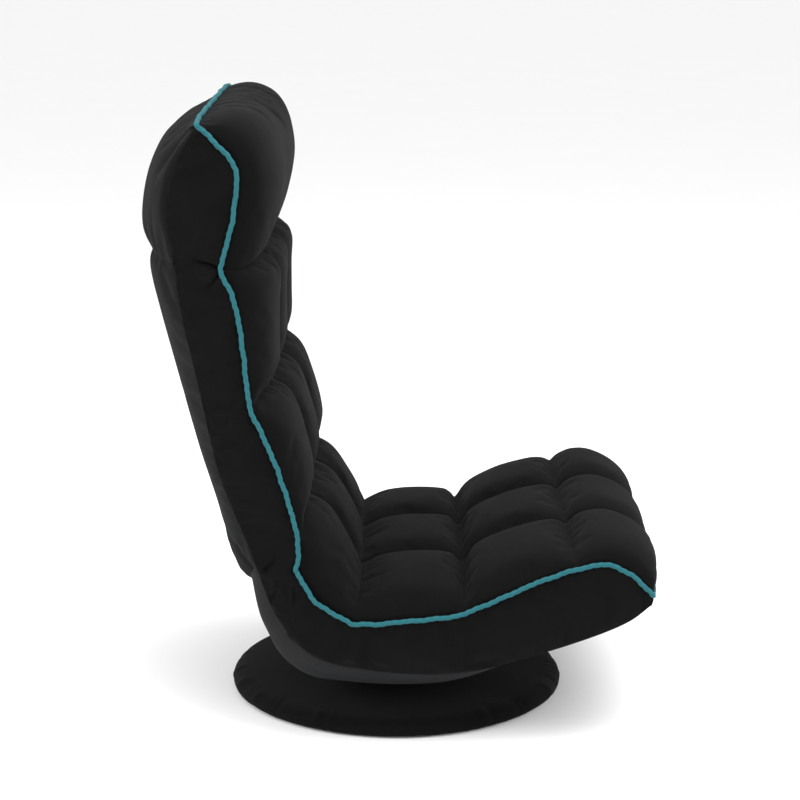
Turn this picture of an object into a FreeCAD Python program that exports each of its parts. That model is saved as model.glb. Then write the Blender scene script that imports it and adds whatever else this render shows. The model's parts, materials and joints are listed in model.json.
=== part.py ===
import FreeCAD, Part
import math
import os

# Floor gaming chair: a quilted seat and folding back on a round swivel base.
# Millimetres and degrees. +Z is up, the sitter faces -Y, and the origin lies on the floor
# on the axis that the seat turns about.

# Overall
overall_width = 560.0
piping_d = 7.0
panel_t = 8.0
soft_gap = 1.0

# Base disc
grip_inset = 28.0
grip_t = 3.0
board_r = 228.0
board_t = 15.0
edge_pad_t = 8.0
dome_rise = 7.0
hub_rise = 14.0
cover_t = 1.6
cover_gap = 0.2
hem_width = 30.0

# Swivel bearing
spacer_t = 9.0
plate_r = 88.0
plate_t = 2.5
race_r = 60.0
race_half = 8.0
race_h = 8.0
race_gap = 3.0
ball_r = 5.0
ball_count = 20
cage_half = 6.0
cage_t = 1.4
groove_clearance = 0.1
cage_clearance = 0.15
king_pin_r = 8.0
king_head_r = 14.0
king_head_t = 3.0
bolt_circle_r = 78.0
bolt_r = 3.0
bolt_head_r = 6.0
bolt_head_t = 4.0
nut_t = 5.0
mount_half = 105.0
mount_t = 4.0

# Fits
running_clearance = 0.05
head_clearance = 0.3

# Tube frame
tube_r = 10.0
tube_wall = 1.5
cross_r = 9.0
rail_inset = 70.0
rail_level = 50.0
rail_flat = 85.0
rail_front_y = -300.0
rail_front_rise = 83.0
rail_bend_r = 50.0
rail_knee_run = 25.0
rail_knee_rise = 45.0
drop_half = 140.0
mid_cross_y = 75.0
front_cross_y = -285.0
strap_t = 2.5
strap_width = 40.0
strap_gap = 0.2
flat_strap_y = 30.0
slope_strap_ys = (-140.0, -195.0, -250.0)
rear_cross_drop = 63.0

# Back hinge, measured from the top of the mounting plate
hinge_y = 160.0
hinge_rise = 203.0
back_lean = 13.5
cheek_t = 3.0
cheek_r = 28.0
cheek_front = 30.0
cheek_rear = 14.0
cheek_margin = 3.0
sector_t = 4.0
sector_r = 20.0
tooth_h = 4.0
tooth_count = 20
tooth_pitch = 10.0
tooth_half_angle = 2.6
arm_half = 12.0
arm_length = 98.0
side_gap = 0.3
hinge_pin_r = 6.0
hinge_head_r = 9.0
hinge_head_t = 1.5
rivet_r = 3.0
rivet_head_r = 5.5
rivet_head_t = 1.5
collar_r = 5.0
back_rivet_heights = (58.0, 84.0)
pawl_forward = 18.0
pawl_drop = 36.0
pawl_hub_r = 7.0
pawl_pin_r = 3.0
pawl_tip_gap = 0.6
pawl_tip_half = 1.5
spring_t = 1.2

# Back frame, in heights above the hinge along the back
back_tube_start = 42.0
head_bend_height = 392.0
head_tube_top = 546.0
head_tube_forward = 46.0
head_bend_r = 80.0
back_cross_height = 130.0
upper_cross_rise = 10.0
head_cross_drop = 16.0
back_strap_count = 5
first_strap_rise = 35.0
last_strap_drop = 31.0

# Upholstery
disc_r = 30.0
disc_gap = 1.0
panel_arc_front = 243.0
panel_arc_rear = 310.0
quilt_groove = 9.0
quilt_edge = 4.0
hull_t = 2.5
hull_half = 158.0
hull_drop = 3.0
hull_shoulder = 49.0
front_panel_t = 6.0
front_panel_h = 31.0
back_foam_front = 31.5
back_foam_start = 46.0
back_foam_top = 390.0
rear_crown = 80.0
rear_seam = 26.0
flap_t = 3.0
flap_drop = 80.0
flap_top_drop = 38.0

# The seat's upper side edge, where the side panel, the foam and the piping meet,
# as (y, height above the mounting plate) from the back hinge to the front corner.
seat_edge = [(104, 152), (58, 122), (-40, 129), (-87, 135), (-157, 167), (-255, 203), (-282, 205),
             (-318, 184), (-340, 162)]
# The seat's lower side edge, from the front corner to the back hinge.
seat_hem = [(-340, 146), (-308, 121), (-190, 76), (-80, 49), (90, 49), (133, 61), (168, 95), (186, 150)]
# The underside along the middle, from the front to the rear.
hull_line = [(-338, 135), (-80, -hull_drop), (92, -hull_drop), (142, 33), (174, 90), (188, 150)]
hull_rim = [(176, 150), (158, 100), (128, 70), (88, 57), (-82, 57), (-190, 83), (-308, 129), (-338, 150)]
# Seat foam's top from the rear to the front, and how it is cut at its rear and front ends.
foam_top = [(48, 126), (-87, 133), (-235, 194), (-283, 201), (-328, 172)]
foam_toe_y = -333.0
foam_heel = [(100, 90), (104, 122)]
foam_heel_gap = 5.0
# Each row of seat puffs: the line it lies on, the ends of its top, and the rise of its crown.
rear_row_base = [(-87, 137), (50, 129)]
rear_row_top = [(-88, 166), (44, 158)]
rear_row_crown = 10.0
middle_row_base = [(-235, 197), (-88, 138)]
middle_row_top = [(-235, 220), (-89, 166)]
middle_row_crown = 12.0
# The front roll: its section along the seat, then how far its corners and its nose reach.
front_roll = [(-236, 197), (-285, 204), (-331, 175), (-344, 167), ((-352, 176), (-353, 190)),
              ((-337, 224), (-290, 235)), ((-262, 232), (-236, 220))]
front_roll_corner_y = -325.0
front_roll_turn_y = -346.0
front_roll_nose_y = -354.0
front_roll_edge = 206.0
front_roll_crest = 235.0
front_roll_groove = 6.0
front_roll_shoulder = 24.0
# The crease roll: its under side from the seat to the hinge, and its top ends and crown.
crease_start = [(52, 131), (108, 143)]
crease_top = (45, 160)
crease_rise = 58.0
crease_tail = (8.0, 44.0)
crease_clear = 7.0
crease_angle = 194.0
crease_crown = 7.0
# Rows of back puffs, as (depth behind the hinge line, height above the hinge).
back_middle_base = (50.0, 222.0)
back_middle_top = [(-48, 50.5), (-43, 222)]
back_middle_crown = 20.0
back_upper_base = (223.0, 396.0)
back_upper_top = [(-44, 223.5), (-84, 386)]
back_upper_crown = 10.0
# The back's front side edge, as (depth, height above the hinge), then as (depth, height above the
# head bend), then as (depth, height above the top of the back tubes).
back_edge_low = [(-34, 12), (-36, 90), (-31, 162), (-21, 214), (-31, 262), (-36, 354)]
back_edge_neck = [(-29, 7), (-54, 52)]
back_edge_head = [(-80, -40), (-82, -23), (-68, 7)]
piping_top = (-44.5, 44.5)
# Head outlines, in heights above the head bend (neck) and above the top of the back tubes (crown).
head_foam_neck = [(-52, 52), (-30, 12), (-17, 12)]
head_foam_crown = [(-61, 2), (-66, 6), (-80, -24), (-78, -40)]
head_front_neck = [(-96, 20), (-86, -1), (-31, 7), (-56, 51)]
head_front_crown = [(-82.5, -40), (-84.5, -23), (-70, 8), (-49, 39), ((-90, 43.5), (-121, 21)),
                    ((-134, -31), (-122, -84))]
head_plan = [(0.0, -62.0), (19.0, -108.0), (65.0, -127.0)]
head_plan_nose = -136.0
head_corner = [(0.0, 14.0), (9.0, 32.0), (36.0, 39.0)]
head_crest = 46.0
head_rear_neck = [(13, 36), (70, 38), ((79, 41), (81, 48))]
head_rear_crown = [((52, -24), (-18, 46)), (-40, 40), (-30, 10)]
rear_tuck = [(22.0, 0.0), (31.0, 2.0), (33.0, 10.0), (30.0, 0.0)]
rear_low = (31.0, 38.0)
rear_hem = -12.0
side_neck = [(-30, 3), (-54, 52)]
side_crown = [(-79, -40), ((-81, -16), (-66, 10)), (-47, 39), ((2, -16), (22, -66))]
side_rear_neck = (29, 28)

# Levels and places worked out from the sizes above
rail_x = overall_width / 2 - rail_inset
panel_x = overall_width / 2 - piping_d
panel_inner_x = panel_x - panel_t
quilt_half = panel_inner_x - soft_gap
foam_half = panel_inner_x - 3 * soft_gap
first_strap = back_cross_height + first_strap_rise
strap_step = (head_bend_height - last_strap_drop - first_strap) / (back_strap_count - 1)
back_strap_heights = [first_strap + strap_step * i for i in range(back_strap_count)]
grip_r = board_r - grip_inset
rivet_spread = cross_r + rivet_head_r + soft_gap
seat_rivet_drops = (rear_cross_drop - rivet_spread, rear_cross_drop + rivet_spread)
cheek_drop = seat_rivet_drops[1] + rivet_head_r + cheek_margin
rear_front = tube_r + strap_gap + strap_t + soft_gap
head_cross_heights = (head_bend_height + upper_cross_rise, head_tube_top - head_cross_drop)
board_bottom = grip_t
board_top = board_bottom + board_t
spacer_top = board_top + spacer_t
lower_plate_top = spacer_top + plate_t
lower_race_top = lower_plate_top + race_h
ball_level = lower_race_top + race_gap / 2
upper_race_bottom = lower_race_top + race_gap
upper_plate_bottom = upper_race_bottom + race_h
upper_plate_top = upper_plate_bottom + plate_t
seat_level = upper_plate_top + mount_t
hinge_level = seat_level + hinge_rise
rail_slope = math.degrees(math.atan2(rail_front_rise, -rail_flat - rail_front_y))
rail_end_gap = cheek_r + 2 * collar_r
inner_cheek_x = rail_x + tube_r
sector_x = inner_cheek_x + cheek_t + side_gap
outer_cheek_x = sector_x + sector_t + side_gap
hinge_outer_x = outer_cheek_x + cheek_t
back_tube_x = sector_x - tube_r


def vec(x, y, z):
    return FreeCAD.Vector(x, y, z)


PLACES = {
    "yz": lambda a, b, level: vec(level, a, b),
    "xz": lambda a, b, level: vec(a, level, b),
    "xy": lambda a, b, level: vec(a, b, level),
}


def outline_face(plane, level, points):
    """Face inside an outline; a step written as a pair of points is an arc (through, to)."""
    place = PLACES[plane]
    edges = []
    here = place(*points[0], level)
    for step in points[1:] + [points[0]]:
        if isinstance(step[0], tuple):
            end = place(*step[1], level)
            edges.append(Part.Arc(here, place(*step[0], level), end).toShape())
        else:
            end = place(*step, level)
            if end.distanceToPoint(here) < 1e-6:
                continue
            edges.append(Part.LineSegment(here, end).toShape())
        here = end
    return Part.Face(Part.Wire(edges))


def slab(plane, low, high, points):
    """Outline drawn in one plane and extruded square to it, from low to high."""
    return outline_face(plane, low, points).extrude(PLACES[plane](0, 0, high - low))


def turned(points):
    """Solid of revolution about Z from an outline of (radius, height) points."""
    return outline_face("xz", 0, points).revolve(vec(0, 0, 0), vec(0, 0, 1), 360)


def disc(radius, low, high, x=0, y=0):
    return Part.makeCylinder(radius, high - low, vec(x, y, low))


def x_rod(radius, low, high, y, z):
    return Part.makeCylinder(radius, high - low, vec(low, y, z), vec(1, 0, 0))


def bent_path(points, bend_r):
    """Straight runs between the points, with a tangent arc of bend_r at each inner one."""
    edges = []
    here = points[0]
    for before, corner, after in zip(points, points[1:], points[2:]):
        back = (before - corner).normalize()
        ahead = (after - corner).normalize()
        half = back.getAngle(ahead) / 2
        reach = bend_r / math.tan(half)
        inward = (back + ahead).normalize()
        middle = corner + inward * (bend_r / math.sin(half) - bend_r)
        arc_start = corner + back * reach
        arc_end = corner + ahead * reach
        edges.append(Part.LineSegment(here, arc_start).toShape())
        edges.append(Part.Arc(arc_start, middle, arc_end).toShape())
        here = arc_end
    edges.append(Part.LineSegment(here, points[-1]).toShape())
    return Part.Wire(edges)


def rod(points, radius, bend_r=rail_bend_r):
    """Solid round bar along a bent path."""
    path = bent_path(points, bend_r)
    along = points[1] - points[0]
    ring = Part.Wire(Part.Circle(points[0], along, radius).toShape())
    return path.makePipeShell([ring], True, False)


def tube(points, radius, bend_r):
    return rod(points, radius, bend_r).cut(rod(points, radius - tube_wall, bend_r))


def mirrored(shape):
    return shape.mirror(vec(0, 0, 0), vec(1, 0, 0))


def both_sides(shape):
    return Part.makeCompound([shape, mirrored(shape)])


def on_seat(shape):
    """Move a shape drawn above the mounting plate's top to its place."""
    moved = shape.copy()
    moved.translate(vec(0, 0, seat_level))
    return moved


def on_back(shape):
    """Lean a shape drawn about the hinge line and move it to the hinge."""
    moved = shape.copy()
    moved.rotate(vec(0, 0, 0), vec(1, 0, 0), -back_lean)
    moved.translate(vec(0, hinge_y, hinge_level))
    return moved


def inset(points, wall):
    """Open line of points shifted to its left by wall, with its corners kept sharp."""
    moved = []
    for i, point in enumerate(points):
        before = points[max(i - 1, 0)]
        after = points[min(i + 1, len(points) - 1)]
        sides = [(a, b) for a, b in ((before, point), (point, after)) if a != b]
        normals = []
        for a, b in sides:
            length = math.dist(a, b)
            normals.append(((a[1] - b[1]) / length, (b[0] - a[0]) / length))
        mean = [sum(n[k] for n in normals) / len(normals) for k in (0, 1)]
        scale = wall / (mean[0] ** 2 + mean[1] ** 2)
        moved.append((point[0] + mean[0] * scale, point[1] + mean[1] * scale))
    return moved


# Base

def base_grip_pad():
    return disc(grip_r, 0, grip_t)


def bolt_places():
    for i in range(4):
        angle = math.radians(45 + 90 * i)
        yield bolt_circle_r * math.cos(angle), bolt_circle_r * math.sin(angle)


def drilled(shape, radius, low, high):
    """Cut the four bolt holes of the bearing plates."""
    for x, y in bolt_places():
        shape = shape.cut(disc(radius, low, high, x, y))
    return shape


def base_board():
    board = disc(board_r, board_bottom, board_top)
    board = drilled(board, bolt_r, board_bottom, board_top)
    return drilled(board, bolt_head_r, board_bottom, board_bottom + bolt_head_t)


def rim_points(grow):
    """Hub edge, shoulder, rim and foot of the padded dome, grown outwards."""
    hub = (plate_r + bolt_head_t, board_top + hub_rise + grow)
    shoulder = (board_r - 2.75 * edge_pad_t, board_top + dome_rise + grow)
    rim = (board_r + 0.4 * edge_pad_t + 0.7 * grow, board_top + 1 + 0.7 * grow)
    foot = (board_r + edge_pad_t + grow, board_bottom)
    return hub, shoulder, rim, foot


def base_padding():
    hub, shoulder, rim, foot = rim_points(0)
    return turned([(hub[0], board_top), (board_r, board_top), (board_r, board_bottom), foot,
                   (rim, shoulder), hub])


def base_cover():
    hub, shoulder, rim, foot = rim_points(cover_gap)
    hub_out, shoulder_out, rim_out, foot_out = rim_points(cover_gap + cover_t)
    hem_top = board_bottom - cover_gap
    hem_r = foot[0] - hem_width
    return turned([hub, shoulder, (rim, foot), (foot[0], hem_top), (hem_r, hem_top),
                   (hem_r, hem_top - cover_t), (foot[0], hem_top - cover_t), foot_out,
                   (rim_out, shoulder_out), hub_out])


def base_spacer():
    spacer = disc(plate_r, board_top, spacer_top).cut(disc(king_head_r + 2, board_top, spacer_top))
    return drilled(spacer, bolt_r, board_top, spacer_top)


# Swivel bearing

def race(low, high):
    ring = disc(race_r + race_half, low, high).cut(disc(race_r - race_half, low, high))
    return ring.cut(Part.makeTorus(race_r, ball_r + groove_clearance, vec(0, 0, ball_level)))


def swivel_lower_plate():
    plate = disc(plate_r, spacer_top, lower_plate_top).fuse(race(lower_plate_top, lower_race_top))
    plate = plate.cut(disc(king_pin_r, spacer_top, lower_plate_top))
    return drilled(plate.removeSplitter(), bolt_r, spacer_top, lower_plate_top)


def swivel_upper_plate():
    plate = disc(plate_r, upper_plate_bottom, upper_plate_top)
    plate = plate.fuse(race(upper_race_bottom, upper_plate_bottom))
    plate = plate.cut(disc(king_pin_r + running_clearance, upper_plate_bottom, upper_plate_top))
    return drilled(plate.removeSplitter(), bolt_r, upper_plate_bottom, upper_plate_top)


def swivel_lower_bolts():
    bolts = []
    for x, y in bolt_places():
        head = disc(bolt_head_r, board_bottom, board_bottom + bolt_head_t, x, y)
        shank = disc(bolt_r, board_bottom + bolt_head_t, lower_plate_top + nut_t, x, y)
        bolts.append(head.fuse(shank))
    return Part.makeCompound(bolts)


def hex_nuts(low):
    nuts = []
    for x, y in bolt_places():
        corners = [(x + bolt_head_r * math.cos(math.radians(60 * i)),
                    y + bolt_head_r * math.sin(math.radians(60 * i))) for i in range(6)]
        nut = slab("xy", low, low + nut_t, corners)
        nuts.append(nut.cut(disc(bolt_r, low, low + nut_t, x, y)))
    return Part.makeCompound(nuts)


def swivel_king_pin():
    flange = disc(king_head_r, spacer_top - king_head_t, spacer_top)
    head_bottom = seat_level + head_clearance
    shank = disc(king_pin_r, spacer_top, head_bottom)
    return flange.fuse(shank).fuse(disc(king_head_r, head_bottom, head_bottom + king_head_t))


def ball_places():
    for i in range(ball_count):
        angle = 2 * math.pi * i / ball_count
        yield race_r * math.cos(angle), race_r * math.sin(angle)


def swivel_balls():
    return Part.makeCompound([Part.makeSphere(ball_r, vec(x, y, ball_level)) for x, y in ball_places()])


def swivel_ball_cage():
    low = ball_level - cage_t / 2
    high = ball_level + cage_t / 2
    cage = disc(race_r + cage_half, low, high).cut(disc(race_r - cage_half, low, high))
    for x, y in ball_places():
        cage = cage.cut(disc(ball_r + cage_clearance, low, high, x, y))
    return cage


def swivel_mount_plate():
    corner = mount_half / 5
    flat = mount_half - corner
    plate = slab("xy", upper_plate_top, seat_level,
                 [(-flat, -mount_half), (flat, -mount_half), (mount_half, -flat), (mount_half, flat),
                  (flat, mount_half), (-flat, mount_half), (-mount_half, flat), (-mount_half, -flat)])
    plate = plate.cut(disc(king_pin_r + running_clearance, upper_plate_top, seat_level))
    return drilled(plate, bolt_r, upper_plate_top, seat_level)


def swivel_upper_bolts():
    bolts = []
    for x, y in bolt_places():
        head = disc(bolt_head_r, upper_plate_bottom - bolt_head_t, upper_plate_bottom, x, y)
        bolts.append(head.fuse(disc(bolt_r, upper_plate_bottom, seat_level + nut_t, x, y)))
    return Part.makeCompound(bolts)


# Seat frame, drawn above the mounting plate

def rail_height(y):
    """Height of the rail's axis on its front slope."""
    return rail_level + rail_front_rise * (y + rail_flat) / (rail_front_y + rail_flat)


def rail_points():
    knee = rail_level + 2 * tube_r
    return [vec(rail_x, rail_front_y, rail_level + rail_front_rise), vec(rail_x, -rail_flat, rail_level),
            vec(rail_x, rail_flat, rail_level), vec(rail_x, hinge_y - rail_knee_run, knee),
            vec(rail_x, hinge_y, knee + rail_knee_rise), vec(rail_x, hinge_y, hinge_rise - rail_end_gap)]


def rail_bar():
    return rod(rail_points(), tube_r)


def seat_rail():
    rail = tube(rail_points(), tube_r, rail_bend_r)
    for drop in seat_rivet_drops:
        rail = rail.cut(x_rod(rivet_r, rail_x - 2 * tube_r, rail_x + 2 * tube_r, hinge_y, hinge_rise - drop))
    return rail


def between(points, side_bar):
    """Cross tube whose ends are mitred to the two side bars."""
    return tube(points, cross_r, rail_bend_r).cut(side_bar).cut(mirrored(side_bar))


def straight_cross(x, y, z, side_bar):
    return between([vec(-x, y, z), vec(x, y, z)], side_bar)


def dropped_cross(y):
    """Cross tube that dips from the rails to the mounting plate."""
    points = [vec(-rail_x, y, rail_level), vec(-drop_half, y, cross_r), vec(drop_half, y, cross_r),
              vec(rail_x, y, rail_level)]
    return between(points, rail_bar())


def strap(side_x, slope, y, z):
    """Elastic strap looped round both side tubes and pulled flat over them."""
    inner = tube_r + strap_gap
    outer = inner + strap_t
    low = -strap_width / 2
    loop = Part.makeCylinder(outer, strap_width, vec(side_x, low, 0), vec(0, 1, 0))
    band = Part.makeBox(2 * side_x, strap_width, strap_t, vec(-side_x, low, inner))
    band = band.fuse(loop).fuse(mirrored(loop))
    hole = Part.makeCylinder(inner, strap_width, vec(side_x, low, 0), vec(0, 1, 0))
    band = band.cut(hole).cut(mirrored(hole))
    band.rotate(vec(0, 0, 0), vec(1, 0, 0), slope)
    band.translate(vec(0, y, z))
    return band


def seat_webbing():
    straps = [strap(rail_x, 0, y, rail_level) for y in (-flat_strap_y, flat_strap_y)]
    straps += [strap(rail_x, -rail_slope, y, rail_height(y)) for y in slope_strap_ys]
    return Part.makeCompound(straps)


# Ratchet hinge on the sitter's left, drawn above the mounting plate

def hinge_cheeks():
    sides = []
    for low in (inner_cheek_x, outer_cheek_x):
        high = low + cheek_t
        plate = slab("yz", low, high, [(hinge_y - cheek_front, hinge_rise - cheek_drop),
                                       (hinge_y + cheek_rear, hinge_rise - cheek_drop),
                                       (hinge_y + cheek_rear, hinge_rise), (hinge_y - cheek_front / 2, hinge_rise),
                                       (hinge_y - cheek_front, hinge_rise - cheek_front)])
        plate = plate.fuse(x_rod(cheek_r, low, high, hinge_y, hinge_rise)).removeSplitter()
        plate = plate.cut(x_rod(hinge_pin_r + running_clearance, low, high, hinge_y, hinge_rise))
        plate = plate.cut(x_rod(pawl_pin_r + running_clearance, low, high, hinge_y - pawl_forward,
                                hinge_rise - pawl_drop))
        for drop in seat_rivet_drops:
            plate = plate.cut(x_rod(rivet_r, low, high, hinge_y, hinge_rise - drop))
        sides.append(plate)
    return Part.makeCompound(sides)


def headed_pin(radius, head_r, head_t, low, high, y, z):
    """Round pin with a head beyond each end."""
    pin = x_rod(radius, low, high, y, z)
    return pin.fuse(x_rod(head_r, low - head_t, low, y, z)).fuse(x_rod(head_r, high, high + head_t, y, z))


def hinge_pin():
    return headed_pin(hinge_pin_r, hinge_head_r, hinge_head_t, inner_cheek_x, hinge_outer_x, hinge_y, hinge_rise)


def pawl_pin():
    return headed_pin(pawl_pin_r, rivet_head_r, rivet_head_t, inner_cheek_x, hinge_outer_x,
                      hinge_y - pawl_forward, hinge_rise - pawl_drop)


def seat_rivets():
    rivets = []
    for drop in seat_rivet_drops:
        z = hinge_rise - drop
        rivet = headed_pin(rivet_r, rivet_head_r, rivet_head_t, rail_x - tube_r, hinge_outer_x, hinge_y, z)
        rivets.append(rivet.fuse(x_rod(collar_r, inner_cheek_x + cheek_t, outer_cheek_x, hinge_y, z)))
    return rivets


def pawl():
    """Lever whose nose points at the toothed sector, riding just clear of its tooth tips."""
    low = sector_x + side_gap
    high = sector_x + sector_t - side_gap
    reach = math.hypot(pawl_forward, pawl_drop) - sector_r - tooth_h - pawl_tip_gap
    nose = slab("yz", low, high, [(-pawl_hub_r * 0.8, 0), (pawl_hub_r * 0.8, 0), (pawl_tip_half, reach),
                                  (-pawl_tip_half, reach)])
    lever = nose.fuse(x_rod(pawl_hub_r, low, high, 0, 0)).removeSplitter()
    lever = lever.cut(x_rod(pawl_pin_r + running_clearance, low, high, 0, 0))
    lever.rotate(vec(0, 0, 0), vec(1, 0, 0), -math.degrees(math.atan2(pawl_forward, pawl_drop)))
    lever.translate(vec(0, hinge_y - pawl_forward, hinge_rise - pawl_drop))
    return lever


def pawl_spring():
    """Leaf that presses the pawl's hub from the nearest rivet's collar."""
    y = hinge_y - pawl_forward
    z = hinge_rise - pawl_drop - pawl_hub_r - side_gap
    foot_y = hinge_y - collar_r - spring_t
    foot_z = hinge_rise - seat_rivet_drops[0] - collar_r
    return slab("yz", sector_x + side_gap, sector_x + sector_t - side_gap,
                [(y, z - spring_t), (foot_y, foot_z - spring_t), (foot_y, foot_z), (y, z)])


# Back frame, drawn about the hinge line as (depth, height)

def hinge_sector():
    low = sector_x
    high = sector_x + sector_t
    plate = x_rod(sector_r, low, high, 0, 0)
    plate = plate.fuse(slab("yz", low, high, [(-arm_half, 0), (arm_half, 0), (arm_half, arm_length),
                                              (-arm_half, arm_length)])).removeSplitter()
    root = sector_r - tooth_h / 4
    tip = sector_r + tooth_h
    first = 270 - tooth_pitch * (tooth_count - 1) / 2
    for i in range(tooth_count):
        middle = math.radians(first + tooth_pitch * i)
        half = math.radians(tooth_half_angle)
        tooth = slab("yz", low, high, [(root * math.cos(middle - half), root * math.sin(middle - half)),
                                       (root * math.cos(middle + half), root * math.sin(middle + half)),
                                       (tip * math.cos(middle + half / 2), tip * math.sin(middle + half / 2)),
                                       (tip * math.cos(middle - half / 2), tip * math.sin(middle - half / 2))])
        plate = plate.fuse(tooth)
    plate = plate.cut(x_rod(hinge_pin_r + running_clearance, low, high, 0, 0))
    for height in back_rivet_heights:
        plate = plate.cut(x_rod(rivet_r, low, high, 0, height))
    return plate


def back_rivets():
    return [headed_pin(rivet_r, rivet_head_r, rivet_head_t, back_tube_x - tube_r, sector_x + sector_t, 0, height)
            for height in back_rivet_heights]


def head_tube_depth(height):
    """Depth of the tube's axis on its bent upper part."""
    return -head_tube_forward * (height - head_bend_height) / (head_tube_top - head_bend_height)


def back_tube_points():
    return [vec(back_tube_x, 0, back_tube_start), vec(back_tube_x, 0, head_bend_height),
            vec(back_tube_x, -head_tube_forward, head_tube_top)]


def back_bar():
    return rod(back_tube_points(), tube_r, head_bend_r)


def back_tube():
    side = tube(back_tube_points(), tube_r, head_bend_r)
    for height in back_rivet_heights:
        side = side.cut(x_rod(rivet_r, back_tube_x - 2 * tube_r, back_tube_x + 2 * tube_r, 0, height))
    return side


def back_webbing():
    return Part.makeCompound([strap(back_tube_x, 90, 0, height) for height in back_strap_heights])


# Upholstery of the seat, drawn above the mounting plate

def column_outline(crown, rise):
    """Three quilted columns across the width, as (x, height over the row's top line)."""
    valley = quilt_half / 3
    middle = (quilt_half + valley) / 2
    shoulder = quilt_half - rise
    top = crown - quilt_groove
    low = -2 * rise
    edge = quilt_edge - rise
    return [(-quilt_half, low), (quilt_half, low), (quilt_half, edge),
            ((quilt_half - 0.25 * rise, edge + 0.6 * (crown - edge)), (shoulder, crown - quilt_groove / 4)),
            (((shoulder + valley) / 2, crown), (valley, top)), ((0, crown), (-valley, top)),
            ((-(shoulder + valley) / 2, crown), (-shoulder, crown - quilt_groove / 4)),
            ((-quilt_half + 0.25 * rise, edge + 0.6 * (crown - edge)), (-quilt_half, edge))]


def quilt_row(base, top_start, top_end, crown):
    """One row of puffs between its base line and an arched top, scalloped into columns."""
    run = (top_end[0] - top_start[0], top_end[1] - top_start[1])
    length = math.hypot(*run)
    arch = ((top_start[0] + top_end[0]) / 2 - run[1] / length * crown,
            (top_start[1] + top_end[1]) / 2 + run[0] / length * crown)
    row = slab("yz", -quilt_half, quilt_half, base + [top_end, (arch, top_start)])
    rise = math.dist(base[0], top_start)
    columns = slab("xz", -length, 2 * length, column_outline(crown, rise))
    columns.rotate(vec(0, 0, 0), vec(1, 0, 0), math.degrees(math.atan2(run[1], run[0])))
    columns.translate(vec(0, *top_start))
    return row.common(columns)


def seat_foam():
    slope = math.radians(rail_slope)
    lift = tube_r + strap_gap + strap_t + soft_gap
    toe = (foam_toe_y, rail_height(foam_toe_y) + lift / math.cos(slope))
    bend = (-rail_flat + lift * math.tan(slope / 2), rail_level + lift)
    heel = (rail_flat - foam_heel_gap, rail_level + lift)
    return slab("yz", -foam_half, foam_half, foam_top + [toe, bend, heel] + foam_heel)


def seat_quilt_rear():
    return quilt_row(rear_row_base, *rear_row_top, rear_row_crown)


def seat_quilt_middle():
    return quilt_row(middle_row_base, *middle_row_top, middle_row_crown)


def seat_quilt_front():
    """Front roll, which runs over the seat's edge down to the front piping."""
    roll = slab("yz", -quilt_half, quilt_half, front_roll)
    rear_y = front_roll[0][0] + front_roll_shoulder
    turn_x = 0.75 * quilt_half
    plan = slab("xy", 0, 2 * front_roll_crest,
                [(-quilt_half, rear_y), (-quilt_half, front_roll_corner_y),
                 ((-turn_x, front_roll_turn_y), (0, front_roll_nose_y)),
                 ((turn_x, front_roll_turn_y), (quilt_half, front_roll_corner_y)), (quilt_half, rear_y)])
    edge = front_roll_edge
    crest = front_roll_crest
    low = crest - front_roll_groove
    valley = quilt_half / 3
    round_x = quilt_half - front_roll_shoulder
    turn = (quilt_half - front_roll_shoulder / 4, crest - front_roll_shoulder / 2.4)
    shoulder = (round_x, crest - front_roll_groove / 3)
    bottom = front_roll[3][1] - front_roll_shoulder
    across = slab("xz", 2 * front_roll_nose_y, rear_y,
                  [(-quilt_half, bottom), (quilt_half, bottom), (quilt_half, edge), (turn, shoulder),
                   ((0.6 * quilt_half, crest), (valley, low)), ((0, crest), (-valley, low)),
                   ((-0.6 * quilt_half, crest), (-shoulder[0], shoulder[1])),
                   ((-turn[0], turn[1]), (-quilt_half, edge))])
    return roll.common(plan).common(across)


def hinge_arc(angle, radius):
    turn = math.radians(angle)
    return hinge_y + radius * math.cos(turn), hinge_rise + radius * math.sin(turn)


def seat_side_panel():
    """Padded side with a round seat for the lower end of the back's side panel."""
    radius = disc_r + disc_gap
    front = hinge_arc(panel_arc_front, radius)
    rear = hinge_arc(panel_arc_rear, radius)
    middle = hinge_arc((panel_arc_front + panel_arc_rear) / 2, radius)
    points = [front] + seat_edge + seat_hem + [rear, (middle, front)]
    return slab("yz", panel_inner_x, panel_x, points)


def front_panel_y():
    return seat_edge[-1][0] - soft_gap


def seat_front_panel():
    top = seat_edge[-1][1]
    return Part.makeBox(2 * panel_x, front_panel_t, front_panel_h,
                        vec(-panel_x, front_panel_y() - front_panel_t, top - front_panel_h))


def hull(lower_line, upper_line, half, wall):
    """Boat-shaped block under the seat, narrowing towards the swivel."""
    side = slab("yz", -half, half, lower_line + upper_line)
    shoulder_x = half - wall
    bottom_x = hull_half - wall / 2
    bottom = wall - hull_drop
    top = hinge_rise
    shoulder = hull_shoulder + wall / 2
    reach = 2 * abs(lower_line[0][0])
    front = slab("xz", -reach, reach, [(-bottom_x, bottom), (bottom_x, bottom), (shoulder_x, shoulder),
                                       (shoulder_x, top), (-shoulder_x, top), (-shoulder_x, shoulder)])
    return side.common(front)


def seat_bottom_cover():
    half = panel_inner_x - soft_gap / 2
    lid = [(y, z + 2 * hull_rim[0][1]) for y, z in hull_rim]
    shell = hull(hull_line, hull_rim, half, 0).cut(hull(inset(hull_line, hull_t), lid, half, hull_t))
    room = mount_half + soft_gap
    return shell.cut(Part.makeBox(2 * room, 2 * room, 4 * hull_t, vec(-room, -room, -2 * hull_t)))


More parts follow.
